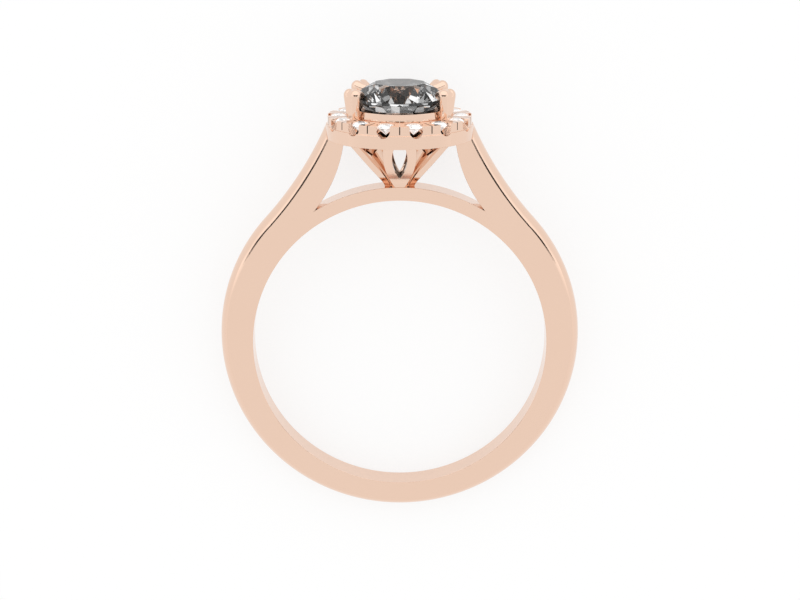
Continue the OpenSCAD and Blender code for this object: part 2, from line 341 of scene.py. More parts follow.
@dataclass(frozen=True)
class Lie:
    """How the standing ring is laid on its back, as its solids are."""

    halo_r: float = 4.08
    halo_z: float = 11.7
    band_half: float = 0.85
    band_low: float = 9.32
    lift: float = 2.2557
    middle_y: float = 2.5629

    def turn(self) -> Matrix:
        """The turn alone: the ring touches at the halo's lower edge and at the band's bottom edge."""
        tilt = atan((self.halo_r - self.band_half) / (self.halo_z + self.band_low))
        return Matrix.Rotation(tilt - pi / 2, 4, "X")

    def matrix(self) -> Matrix:
        """From millimetres on the standing ring to metres in the row frame."""
        place = Matrix.Translation((0.0, -self.middle_y * MM, self.lift * MM))
        return place @ self.turn() @ Matrix.Scale(MM, 4)


def put(name: str, data: bpy.types.ID) -> bpy.types.Object:
    """Puts a new object into the scene.

    Args:
        name: its name.
        data: its mesh or camera.

    Returns:
        The object.
    """
    thing = bpy.data.objects.new(name, data)
    bpy.context.scene.collection.objects.link(thing)
    return thing


def mesh_of(name: str, bm: BMesh) -> bpy.types.Mesh:
    """Makes a mesh of a shape.

    Args:
        name: the mesh's name.
        bm: the shape, which is used up.

    Returns:
        The mesh.
    """
    mesh = bpy.data.meshes.new(name)
    bm.to_mesh(mesh)
    bm.free()
    return mesh


def settled(thing: bpy.types.Object) -> bpy.types.Mesh:
    """Applies an object's modifiers.

    Args:
        thing: the object, which is used up with its mesh.

    Returns:
        The mesh that the modifiers give.
    """
    bpy.context.view_layer.update()
    seen = thing.evaluated_get(bpy.context.evaluated_depsgraph_get())
    mesh = bpy.data.meshes.new_from_object(seen)
    bpy.data.meshes.remove(thing.data)
    return mesh


def gathered(meshes: list[bpy.types.Mesh]) -> BMesh:
    """Puts several meshes in one shape, as they are.

    Args:
        meshes: the meshes, which are used up.

    Returns:
        The shape.
    """
    whole = bmesh.new()
    for mesh in meshes:
        whole.from_mesh(mesh)
        bpy.data.meshes.remove(mesh)
    return whole


def joined(shapes: list[BMesh]) -> BMesh:
    """Puts several shapes in one, as they are, and uses them up."""
    return gathered([mesh_of("shape", shape) for shape in shapes])


def all_of(bm: BMesh) -> Parts:
    """Everything that a shape has."""
    return bm.verts[:] + bm.edges[:] + bm.faces[:]


def shift(bm: BMesh, way: tuple[float, float, float]) -> None:
    """Moves a shape."""
    bmesh.ops.translate(bm, verts=bm.verts[:], vec=way)


def swing(bm: BMesh, angle: float) -> None:
    """Turns a shape about the Z axis."""
    bmesh.ops.rotate(bm, verts=bm.verts[:], cent=(0, 0, 0), matrix=Matrix.Rotation(angle, 3, "Z"))


def weld(bm: BMesh) -> None:
    """Joins points that are in one place."""
    bmesh.ops.remove_doubles(bm, verts=bm.verts[:], dist=TINY)


def face_out(bm: BMesh) -> None:
    """Turns the faces of a closed shape outwards."""
    bmesh.ops.recalc_face_normals(bm, faces=bm.faces[:])


def mirror(bm: BMesh) -> None:
    """Adds the left half of a shape, as the mirror image of its right half."""
    bmesh.ops.mirror(bm, geom=all_of(bm), matrix=Matrix.Identity(4), merge_dist=TINY, axis="X")
    weld(bm)


def repeat(bm: BMesh, geom: Parts, count: int) -> None:
    """Repeats parts of a shape evenly round the Z axis, up to a count."""
    angle = 2 * pi * (count - 1) / count
    bmesh.ops.spin(bm, geom=geom, angle=angle, steps=count - 1, use_duplicate=True, **ROUND_Z)


def sharp_edges(bm: BMesh, angle: float) -> list[BMEdge]:
    """The edges where two faces meet at more than an angle."""
    return [e for e in bm.edges if len(e.link_faces) == 2 and e.calc_face_angle() > angle]


def soften(bm: BMesh, edges: list[BMEdge], width: float) -> None:
    """Rounds edges off.

    Args:
        bm: the shape.
        edges: the edges.
        width: how far the rounding reaches to each side.
    """
    bmesh.ops.bevel(
        bm, geom=edges, offset=width, offset_type="OFFSET", segments=3, profile=0.5, affect="EDGES",
        clamp_overlap=True, material=-1,
    )


@dataclass
class Maker:
    """Turns shapes into finished pieces."""

    lie: Lie
    finishes: dict[Slot, bpy.types.Material]
    even_weight: int = 90
    even_reach: float = 0.001

    def piece(self, name: str, bm: BMesh, slot: Slot, node: str, crease: float | None = 35.0) -> None:
        """Finishes one shape as a piece of the ring.

        Args:
            name: the piece's name.
            bm: the shape, in millimetres on the standing ring, which is used up.
            slot: its material slot.
            node: the CAD node that it stands for.
            crease: edges sharper than this many degrees stay sharp, or None for flat facets.
        """
        weld(bm)
        face_out(bm)
        smooth = crease is not None
        for face in bm.faces:
            face.smooth = smooth
        for edge in bm.edges if smooth else ():
            edge.smooth = len(edge.link_faces) == 2 and edge.calc_face_angle() < radians(crease)
        mesh = self._evened(mesh_of(name, bm)) if smooth else mesh_of(name, bm)
        mesh.name = name
        mesh.transform(self.lie.matrix())
        thing = put(name, mesh)
        mesh.materials.append(self.finishes[slot])
        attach(thing, "root")
        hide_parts(node)
        LOG.info("%s: %d faces", name, len(mesh.polygons))

    def _evened(self, mesh: bpy.types.Mesh) -> bpy.types.Mesh:
        """Lets the broad faces rule how light runs over their rounded edges, as on flat lapped metal.

        Args:
            mesh: the mesh, which is used up.

        Returns:
            A mesh of the same form.
        """
        thing = put("rough", mesh)
        even = thing.modifiers.new("even", "WEIGHTED_NORMAL")
        even.keep_sharp = True
        even.weight = self.even_weight
        even.thresh = self.even_reach
        return settled(thing)


class Pen:
    """Draws an outline edge by edge in the plane of X and Z."""

    def __init__(self, bm: BMesh, x: float, z: float, y: float = 0.0) -> None:
        """Puts the pen down in a shape, on the plane at y."""
        self.bm, self.y = bm, y
        self.first = self.tip = bm.verts.new((x, y, z))

    def lines(self, *points: tuple[float, float]) -> None:
        """Draws straight edges.

        Args:
            points: where each edge ends.
        """
        for x, z in points:
            self.tip = bmesh.ops.extrude_vert_indiv(self.bm, verts=[self.tip])["verts"][0]
            self.tip.co = (x, self.y, z)

    def arc(self, centre: tuple[float, float], turn: float, steps: int) -> None:
        """Draws an arc.

        Args:
            centre: its centre.
            turn: how far it runs, in radians from +Z towards +X.
            steps: how many edges it has.
        """
        middle = (centre[0], self.y, centre[1])
        spun = bmesh.ops.spin(
            self.bm, geom=[self.tip], cent=middle, axis=(0, 1, 0), dvec=(0, 0, 0), angle=turn, steps=steps
        )
        self.tip = next(v for v in spun["geom_last"] if isinstance(v, BMVert))

    def slab(self, thick: float) -> BMesh:
        """Joins the last point to the first, and pulls the outline out towards +Y.

        Args:
            thick: how far.

        Returns:
            The slab.
        """
        run, vert = [self.bm.edges.new((self.tip, self.first))], self.tip
        while vert is not self.first:
            run.append(next(e for e in vert.link_edges if e is not run[-1]))
            vert = run[-1].other_vert(vert)
        face = bmesh.ops.contextual_create(self.bm, geom=run)["faces"][0]
        grown = bmesh.ops.extrude_face_region(self.bm, geom=[face])["geom"]
        bmesh.ops.translate(self.bm, verts=[v for v in grown if isinstance(v, BMVert)], vec=(0, thick, 0))
        face_out(self.bm)
        return self.bm


def turned(profile: Points, steps: int, angle: float = 2 * pi, start: float = 0.0) -> BMesh:
    """Turns a closed profile round the Z axis.

    Args:
        profile: its corners, as radius and height.
        steps: how many steps the turn takes.
        angle: how far it is turned.
        start: where the turn begins, from the front of the ring towards its right.

    Returns:
        A closed shape.
    """
    bm = bmesh.new()
    pen = Pen(bm, *profile[0])
    pen.lines(*profile[1:])
    bm.edges.new((pen.tip, pen.first))
    swing(bm, start - pi / 2)
    whole = abs(angle - 2 * pi) < TINY
    bmesh.ops.spin(bm, geom=bm.verts[:] + bm.edges[:], angle=angle, steps=steps, use_merge=whole, **ROUND_Z)
    weld(bm)
    bmesh.ops.delete(bm, geom=[e for e in bm.edges if e.is_wire], context="EDGES")
    if not whole:
        bmesh.ops.holes_fill(bm, edges=[e for e in bm.edges if e.is_boundary], sides=0)
    face_out(bm)
    return bm


def wrapped(bm: BMesh) -> BMesh:
    """Wraps a shape tightly, without hollows.

    Args:
        bm: the shape, which is changed.

    Returns:
        The same shape.
    """
    hull = bmesh.ops.convex_hull(bm, input=bm.verts[:], use_existing_faces=False)
    spare = {g for g in hull["geom_interior"] if isinstance(g, BMVert)}
    skin = set(hull["geom"])
    bmesh.ops.delete(bm, geom=[f for f in bm.faces if f not in skin], context="FACES_ONLY")
    bmesh.ops.delete(bm, geom=[v for v in spare if v.is_valid], context="VERTS")
    bmesh.ops.delete(bm, geom=[e for e in bm.edges if e.is_wire], context="EDGES")
    face_out(bm)
    return bm


def carve(bm: BMesh, cutters: list[BMesh]) -> BMesh:
    """Cuts closed shapes out of a closed shape.

    Args:
        bm: the shape, which is used up.
        cutters: the shapes to cut out, which are used up.

    Returns:
        The new shape.
    """
    things = [put(f"carve_{n}", mesh_of(f"carve_{n}", shape)) for n, shape in enumerate([bm, *cutters])]
    for cutter in things[1:]:
        cut = things[0].modifiers.new("cut", "BOOLEAN")
        cut.operation = "DIFFERENCE"
        cut.solver = "EXACT"
        cut.object = cutter
    result = gathered([settled(things[0])])
    for cutter in things[1:]:
        bpy.data.meshes.remove(cutter.data)
    return result


# The ring's own pieces


@dataclass
class Hoop:
    """Band, bridge and the two cathedral shoulders."""

    finger_r: float = 8.25
    width: float = 1.7
    crest_r: float = 10.087
    crest_z: float = 0.367
    crest_h: float = 0.4
    bridge_r: float = 9.0
    shoulder_start: float = radians(48)
    sweep_r: float = 20.0
    inner_r: float = 7.8
    inner_centre: tuple[float, float] = (10.804, 12.544)
    foot: tuple[float, float] = (4.72, 7.663)
    top_z: float = 12.32
    edge_round: float = 0.32
    inner_soft: float = 0.06
    slices: int = 24
    near: float = 0.002
    sweep_low: float = 6.7
    sharp: float = radians(50)
    steps: tuple[int, ...] = (130, 36, 40, 36, 150)

    def _sweep_centre(self) -> tuple[float, float]:
        """The middle of the hollow sweep of the right shoulder."""
        reach = self.crest_r + self.sweep_r
        return reach * sin(self.shoulder_start), self.crest_z + reach * cos(self.shoulder_start)

    def _outward(self, x: float, z: float) -> Vector | None:
        """The way out of the crest at a point of the flat side.

        Args:
            x: where the point is, across.
            z: where it is, up.

        Returns:
            The direction, or None where the point isn't on the crest's edge.
        """
        sx, sz = self._sweep_centre()
        if abs(hypot(x - sx, z - sz) - self.sweep_r - self.crest_h) < self.near and z > self.sweep_low:
            return Vector((sx - x, 0, sz - z)).normalized()
        if abs(hypot(x, z - self.crest_z) - self.crest_r + self.crest_h) < self.near:
            return Vector((x, 0, z - self.crest_z)).normalized()
        return None

    def _section(self, y: float) -> tuple[float, float]:
        """A point of the crest's section: a dome that rounds over into the flat sides.

        Args:
            y: a distance from the middle of the width, spread evenly over it.

        Returns:
            The point's distance from the middle, and how far it stands out.
        """
        half = self.width / 2
        arc = (half**2 + self.crest_h**2) / (2 * self.crest_h)
        middle = -(arc - self.crest_h)
        drop = middle + sqrt((arc - self.edge_round) ** 2 - (half - self.edge_round) ** 2)
        meet = asin((half - self.edge_round) / (arc - self.edge_round))
        dome_run, round_run = arc * meet, self.edge_round * (pi / 2 - meet)
        along = abs(y) / half * (dome_run + round_run)
        side = 1 if y > 0 else -1
        if along < dome_run:
            return side * arc * sin(along / arc), middle + arc * cos(along / arc)
        bend = meet + (along - dome_run) / self.edge_round
        return side * (half - self.edge_round * (1.0 - sin(bend))), drop + self.edge_round * cos(bend)

    def _half(self) -> BMesh:
        """The right half of the hoop, still without the dome of its crest.

        Returns:
            The half.
        """
        crest, sweep, inner, bridge, hole = self.steps
        sx, sz = self._sweep_centre()
        end_x = sx - sqrt((self.sweep_r + self.crest_h) ** 2 - (sz - self.top_z) ** 2)
        sweep_start = atan2(-sin(self.shoulder_start), -cos(self.shoulder_start))
        sweep_turn = atan2(end_x - sx, self.top_z - sz) - sweep_start
        ix, iz = self.inner_centre
        inner_top = ix - sqrt(self.inner_r**2 - (iz - self.top_z) ** 2)
        inner_turn = atan2(self.foot[0] - ix, self.foot[1] - iz) - atan2(inner_top - ix, self.top_z - iz)
        pen = Pen(bmesh.new(), 0.0, self.crest_z - self.crest_r + self.crest_h, -self.width / 2)
        pen.arc((0.0, self.crest_z), self.shoulder_start - pi, crest)
        pen.arc((sx, sz), sweep_turn, sweep)
        pen.lines((inner_top, self.top_z))
        pen.arc(self.inner_centre, inner_turn, inner)
        pen.tip.co = (self.foot[0], pen.y, self.foot[1])
        pen.arc((0.0, 0.0), -atan2(*self.foot), bridge)
        pen.tip.co = (0.0, pen.y, self.bridge_r)
        pen.lines((0.0, self.finger_r))
        pen.arc((0.0, 0.0), pi, hole)
        pen.tip.co.x = 0.0
        return pen.slab(self.width)

    def build(self, maker: Maker) -> None:
        """Builds the hoop as one smooth piece.

        Args:
            maker: finishes it.
        """
        bm = self._half()
        across = []
        for edge in bm.edges:
            a, b = (v.co for v in edge.verts)
            if abs(a.y - b.y) > self.width / 2 and self._outward(a.x, a.z):
                across.append(edge)
        bmesh.ops.subdivide_edges(bm, edges=across, cuts=self.slices - 1, use_grid_fill=True)
        for vert in bm.verts:
            way = self._outward(vert.co.x, vert.co.z)
            # The back edge stays out, as the solid's does, and rests on the floor
            if way and vert.co.y < self.width / 2 - TINY:
                y, out = self._section(vert.co.y)
                vert.co += way * out
                vert.co.y = y
        flat = [f for f in bm.faces if all(abs(v.co.x) < TINY for v in f.verts)]
        bmesh.ops.delete(bm, geom=flat, context="FACES_ONLY")
        mirror(bm)
        face_out(bm)
        soften(bm, self._rims(bm), self.inner_soft)
        maker.piece("band_and_shoulders", bm, Slot.ROSE_GOLD, "ring_mounting")

    def _rims(self, bm: BMesh) -> list[BMEdge]:
        """The sharp edges between the two flat sides and the inner faces.

        Args:
            bm: the hoop.

        Returns:
            The edges.
        """
        found = []
        for edge in sharp_edges(bm, self.sharp):
            a, b = (v.co for v in edge.verts)
            on_side = abs(abs(a.y) - self.width / 2) < TINY and abs(a.y - b.y) < TINY
            on_axis = abs(a.x) < TINY and abs(b.x) < TINY
            if on_side and not on_axis and a.z + b.z < 2 * self.top_z - TINY:
                found.append(edge)
        return found


@dataclass
class Basket:
    """Four petals with pointed windows and the web between them."""

    halo_z: float = 11.7
    foot_r: float = 0.78
    top_r: float = 3.02
    knee_z: float = 9.05
    foot_flare: float = 0.12
    thick: float = 0.42
    proud: float = 0.2
    petal_half_w: float = 0.92
    petal_arc_r: float = 3.9
    petal_z: float = 11.15
    window_half_w: float = 0.41
    window_half_h: float = 1.3
    window_z: float = 10.85
    foot_z: float = 8.84
    cover: float = 0.02
    notch_h: float = 0.8
    notch_spread: float = 1.5
    soft: float = 0.05
    sharp: float = radians(50)
    crease: float = 30.0
    petal_cells: tuple[int, int, int] = (10, 34, 8)
    web_cells: tuple[int, int, int] = (16, 10, 14)
    row_ease: float = 1.5

    def _cone(self, z: float, depth: float) -> float:
        """The radius of the basket at a height and a depth, flaring softly out of its foot."""
        flare = self.foot_flare * log(1.0 + exp((min(z, self.halo_z) - self.knee_z) / self.foot_flare))
        return self.foot_r + flare * (self.top_r - self.foot_r) / (self.halo_z - self.knee_z) - depth

    @staticmethod
    def _oval(z: float, half_w: float, arc_r: float) -> float:
        """Half the width of a pointed oval at a height over its middle."""
        return max(0.0, sqrt(max(0.0, arc_r**2 - z**2)) - (arc_r - half_w))

    def _petal_side(self, z: float) -> float:
        """Half the width of a petal at a height."""
        return self._oval(z - self.petal_z, self.petal_half_w, self.petal_arc_r)

    def _window_side(self, z: float) -> float:
        """Half the width of a petal's window at a height."""
        arc = (self.window_half_h**2 + self.window_half_w**2) / (2 * self.window_half_w)
        return self._oval(z - self.window_z, self.window_half_w, arc)

    def _web_skin(self, x: float, z: float, depth: float) -> float:
        """The y of the round web, at a distance from its middle, a height and a depth."""
        return -sqrt(max(TINY, self._cone(z, depth) ** 2 - x**2))

    def _web_end(self, z: float) -> float:
        """Where the web ends at a height, inside the solid part of a petal."""
        cover = (self._petal_side(z) + self._window_side(z)) / 2
        return self._cone(z, self.proud) * sin(pi / 4 - asin(cover / self._cone(z, self.proud)))

    def _notch(self, z: float) -> float:
        """Half the width of the notch in the web at a height."""
        return max(0.0, (z - self.halo_z + self.notch_h) * self.notch_spread)

    def _patch(self, middle: float, cells: tuple[int, ...], sides: list[Side], skins: list[Skin]) -> BMesh:
        """Makes a leaning patch in level rows, from the foot up into the halo, and gives it its thickness.

        Args:
            middle: the height of one row, just over which the rows are closest.
            cells: how many rows are below it and above it, and how many cells half a row has.
            sides: at a height, how far from the middle half a row starts and ends.
            skins: at a distance from the middle and a height, the y of the outer and of the inner face.

        Returns:
            The whole patch, mirrored about the front of the ring.
        """
        below, above, columns = cells
        low, top, rows = self.foot_z, self.halo_z + self.cover, below + above
        levels = [low + (middle - low) * n / below for n in range(below)]
        levels += [middle + (top - middle) * (n / above) ** self.row_ease for n in range(above + 1)]
        bm = bmesh.new()
        bmesh.ops.create_grid(bm, x_segments=columns, y_segments=rows, size=0.5)
        for vert in bm.verts:
            z = levels[round((vert.co.y + 0.5) * rows)]
            start, end = (side(z) for side in sides)
            vert.co = (start + (end - start) * (vert.co.x + 0.5), 0.0, z)
        weld(bm)
        mirror(bm)
        grown = bmesh.ops.extrude_face_region(bm, geom=bm.faces[:])
        behind = {v for v in grown["geom"] if isinstance(v, BMVert)}
        for vert in bm.verts:
            vert.co.y = skins[1 if vert in behind else 0](vert.co.x, vert.co.z)
        face_out(bm)
        return bm

    def _petal(self) -> BMesh:
        """One petal at the front, with its window.

        Returns:
            The petal.
        """
        sides = [self._window_side, self._petal_side]
        skins = [lambda x, z: -self._cone(z, 0.0), lambda x, z: -self._cone(z, self.thick)]
        return self._patch(self.window_z - self.window_half_h, self.petal_cells, sides, skins)

    def _web(self) -> BMesh:
        """The web between two petals, drawn at the front, with its notch under the halo.

        Returns:
            The web.
        """
        sides = [self._notch, self._web_end]
        skins = [lambda x, z, depth=depth: self._web_skin(x, z, depth) for depth in (self.proud, self.thick)]
        return self._patch(self.halo_z - self.notch_h, self.web_cells, sides, skins)

    def build(self, maker: Maker) -> None:
        """Builds the petals and the web round the basket.

        Args:
            maker: finishes them.
        """
        for name, bm, phase in (("petals", self._petal(), 0.0), ("petal_web", self._web(), pi / 4)):
            soften(bm, sharp_edges(bm, self.sharp), self.soft)
            swing(bm, phase)
            repeat(bm, all_of(bm), 4)
            maker.piece(name, bm, Slot.ROSE_GOLD, "ring_mounting", self.crease)


@dataclass
class Halo:
    """The halo wall with its ledge, prongs, seats and light holes, and the rail under the centre stone."""

    stones: int = 14
    bottom_z: float = 11.7
    ledge_z: float = 12.42
    block_z: float = 12.92
    rail_z: float = 13.34
    plate_z: float = 12.86
    outer_r: float = 4.08
    block_r: float = 3.98
    plate_r: float = 2.85
    rail_r: float = 2.63
    rail_top_r: float = 2.6
    hole_low: float = 0.9
    hole_high: float = 2.03
    hole_rise: float = 0.35
    stone_r: float = 3.37
    stone_d: float = 0.94
    stone_z: float = 12.798
    gap: float = 0.02
    scallop_r: float = 0.36
    scallop_z: float = 12.65
    slit_w: float = 0.06
    slit_z: float = 12.5
    slit_in: float = 0.05
    light_r: float = 0.25
    soft: float = 0.03
    sharp: float = radians(60)
    crease: float = 30.0
    slice_steps: int = 8
    seat_steps: int = 40
    scallop_steps: int = 24

    def pitch(self) -> float:
        """The angle between two small stones."""
        return 2 * pi / self.stones

    def _body(self) -> BMesh:
        """One slice of the turned body, as wide as one small stone's share.

        Returns:
            The slice, with its round edges softened.
        """
        profile = [
            (self.hole_low, self.bottom_z),
            (self.outer_r, self.bottom_z),
            (self.outer_r, self.ledge_z),
            (self.block_r, self.ledge_z),
            (self.block_r, self.block_z),
            (self.plate_r, self.block_z),
            (self.plate_r, self.plate_z),
            (self.rail_r, self.plate_z),
            (self.rail_top_r, self.rail_z),
            (self.hole_high, self.rail_z),
            (self.hole_low, self.bottom_z + self.hole_rise),
        ]
        bm = turned(profile, self.slice_steps, self.pitch(), -self.pitch() / 2)
        rings = []
        for edge in sharp_edges(bm, self.sharp):
            a, b = (v.co for v in edge.verts)
            if abs(a.z - b.z) < TINY and abs(hypot(a.x, a.y) - hypot(b.x, b.y)) < TINY:
                rings.append(edge)
        soften(bm, rings, self.soft)
        return bm

    def _seat(self) -> BMesh:
        """Seat and light hole of the small stone at the front.

        Returns:
            The shape that is cut out.
        """
        r = self.stone_d / 2 + self.gap
        edge = self.stone_z - RoundCut.edge * self.stone_d - self.gap
        low = edge - RoundCut.pavilion * self.stone_d
        profile = [
            (0.0, self.bottom_z - OVER),
            (self.light_r, self.bottom_z - OVER),
            (self.light_r, low + (edge - low) * self.light_r / r),
            (r, edge),
            (r, self.block_z + OVER),
            (0.0, self.block_z + OVER),
        ]
        bm = turned(profile, self.seat_steps)
        shift(bm, (0, -self.stone_r, 0))
        return bm

    def _opened(self, pen: Pen, inner_r: float) -> BMesh:
        """Runs a cut from its drawn foot up through the top, and in from the outside to a radius."""
        pen.lines(*((x, self.block_z + OVER) for x in (pen.tip.co.x, pen.first.co.x)))
        return pen.slab(self.outer_r + OVER - inner_r)

    def _scallop(self) -> BMesh:
        """The round cut in front of the small stone.

        Returns:
            The shape that is cut out.
        """
        pen = Pen(bmesh.new(), self.scallop_r, self.scallop_z, -self.outer_r - OVER)
        pen.arc((0.0, self.scallop_z), pi, self.scallop_steps)
        return self._opened(pen, self.stone_r)

    def _slit(self, side: int) -> BMesh:
        """The slit beside the small stone, which it shares with the next one.

        Args:
            side: 1 or -1, for either side.

        Returns:
            The shape that is cut out.
        """
        pen = Pen(bmesh.new(), self.slit_w / 2, self.slit_z, -self.outer_r - OVER)
        pen.lines((-self.slit_w / 2, self.slit_z))
        bm = self._opened(pen, self.plate_r - self.slit_in)
        swing(bm, side * self.pitch() / 2)
        return bm

    def build(self, maker: Maker) -> None:
        """Cuts one slice and repeats it round the halo.

        Args:
            maker: finishes it.
        """
        bm = carve(self._body(), [self._seat(), self._scallop(), self._slit(-1), self._slit(1)])
        ends = []
        for side in (-1, 1):
            across = Matrix.Rotation(side * self.pitch() / 2, 3, "Z") @ Vector((1, 0, 0))
            ends += [f for f in bm.faces if all(abs(v.co.dot(across)) < TINY for v in f.verts)]
        bmesh.ops.delete(bm, geom=ends, context="FACES_ONLY")
        repeat(bm, all_of(bm), self.stones)
        swing(bm, self.pitch() / 2)
        maker.piece("halo", bm, Slot.ROSE_GOLD, "ring_mounting", self.crease)


@dataclass
class Claws:
    """Four double claws that hold the centre stone."""

    angles: tuple[float, ...] = (61.5, 130.5, -130.5, -61.5)
    facing: tuple[float, ...] = (45.0, 135.0, -135.0, -45.0)
    foot_r: float = 2.8
    tip_r: float = 2.9
    foot_z: float = 12.45
    tip_z: float = 14.2
    tip_h: float = 0.36
    slant_h: float = 0.12
    slant_in: float = 0.02
    tip_size: float = 0.335
    tip_gap: float = 0.46
    foot_size: float = 0.28
    foot_gap: float = 0.2
    cap_share: float = 0.85
    hook_size: float = 0.28
    hook_reach: float = 0.4
    hook_z: float = 14.1
    hook_gap: float = 0.26
    hook_steps: tuple[int, int] = (32, 20)
    stone_d: float = 5.0
    stone_edge_z: float = 13.85
    gap: float = 0.02
    foot_gap_z: float = 0.03
    space_steps: int = 96
    dome_start: float = radians(20)
    dome_steps: int = 8
    half_steps: int = 40
    grain: float = 0.022
    polish: int = 4
    polish_share: float = 0.5
    crease: float = 60.0

    def _half(self, side: int, domed: bool = True) -> BMesh:
        """One tapered half of a claw, standing at the middle.

        Args:
            side: 1 or -1, for either half.
            domed: whether it has its low domed tip.

        Returns:
            The half, with its foot at height 0.
        """
        rise = self.tip_z - self.foot_z
        profile = [(0.0, 0.0), (self.foot_size, 0.0), (self.tip_size, rise)]
        if domed:
            shelf_r, shelf_z = self.tip_size - self.slant_in, rise + self.slant_h
            start = self.dome_start
            for n in range(self.dome_steps):
                a = start + (pi / 2 - start) * n / self.dome_steps
                lift = (sin(a) - sin(start)) / (1 - sin(start))
                lift *= self.tip_h - self.slant_h
                profile.append((shelf_r * cos(a) / cos(start), shelf_z + lift))
        bm = turned([*profile, (0.0, rise + self.tip_h if domed else rise)], self.half_steps)
        lean = atan(side * (self.tip_gap - self.foot_gap) / 2 / rise)
        place = Matrix.Translation((side * self.foot_gap / 2, 0, 0)) @ Matrix.Rotation(lean, 4, "Y")
        bmesh.ops.transform(bm, matrix=place, verts=bm.verts[:])
        return bm

    def _tips(self, sides: tuple[int, ...], share: float = 1.0) -> BMesh:
        """The domed tips alone.

        Args:
            sides: 1 and -1, for the halves whose tips are wanted.
            share: how much of their height they keep.

        Returns:
            The tips in one shape.
        """
        bm = joined([self._half(side) for side in sides])
        low = self.tip_z - self.foot_z - TINY
        bmesh.ops.delete(bm, geom=[v for v in bm.verts if v.co.z < low], context="VERTS")
        for vert in bm.verts:
            vert.co.z = low + (vert.co.z - low) * share
        return bm

    def _finger(self, side: int) -> BMesh:
        """The top of one half, which runs over into its end, bent over the edge of the stone.

        Args:
            side: 1 or -1, for either half.

        Returns:
            The top and the bent end in one.
        """
        hook = bmesh.new()
        around, along = self.hook_steps
        bmesh.ops.create_uvsphere(hook, u_segments=around, v_segments=along, radius=self.hook_size)
        shift(hook, (side * self.hook_gap / 2, self.hook_reach, self.hook_z - self.foot_z))
        return wrapped(joined([self._tips((side,)), hook]))

    def _stone_space(self) -> BMesh:
        """The room that the centre stone takes.

        Returns:
            The shape that is cut out.
        """
        table, star, top, bottom, _, foot = RoundCut(self.stone_d).corners()
        profile = [(0.0, foot[1] - self.foot_gap_z), (bottom[0] + self.gap, bottom[1] - self.gap)]
        profile += [(radius + self.gap, height + self.gap) for radius, height in (top, star, table)]
        bm = turned([*profile, (0.0, table[1] + self.gap)], self.space_steps)
        shift(bm, (0, 0, self.stone_edge_z))
        return bm

    def _polished(self, bm: BMesh) -> BMesh:
        """Melts the parts of a claw into one another, as casting and polishing leave it.

        Args:
            bm: the parts, which are used up.

        Returns:
            The claw.
        """
        thing = put("claw_rough", mesh_of("claw_rough", bm))
        even = thing.modifiers.new("even", "REMESH")
        even.mode = "VOXEL"
        even.voxel_size = self.grain
        soft = thing.modifiers.new("soft", "SMOOTH")
        soft.iterations = self.polish
        soft.factor = self.polish_share
        return gathered([settled(thing)])

    def build(self, maker: Maker) -> None:
        """Builds the four claws, cut to the stone.

        Args:
            maker: finishes them.
        """
        parts = []
        reach = Matrix.Rotation(atan((self.tip_r - self.foot_r) / (self.tip_z - self.foot_z)), 4, "X")
        stand = Matrix.Translation((0, -self.foot_r, self.foot_z)) @ reach
        for angle, facing in zip(self.angles, self.facing):
            body = wrapped(joined([self._half(-1, False), self._half(1, False)]))
            halves = [shape for side in (-1, 1) for shape in (self._half(side), self._finger(side))]
            cap = wrapped(self._tips((-1, 1), self.cap_share))
            one = joined([body, cap, *halves])
            twist = Matrix.Rotation(radians(facing - angle), 4, "Z")
            turn = Matrix.Rotation(radians(angle), 4, "Z") @ stand @ twist
            bmesh.ops.transform(one, matrix=turn, verts=one.verts[:])
            parts.append(carve(self._polished(one), [self._stone_space()]))
        maker.piece("double_claws", joined(parts), Slot.ROSE_GOLD, "ring_mounting", self.crease)


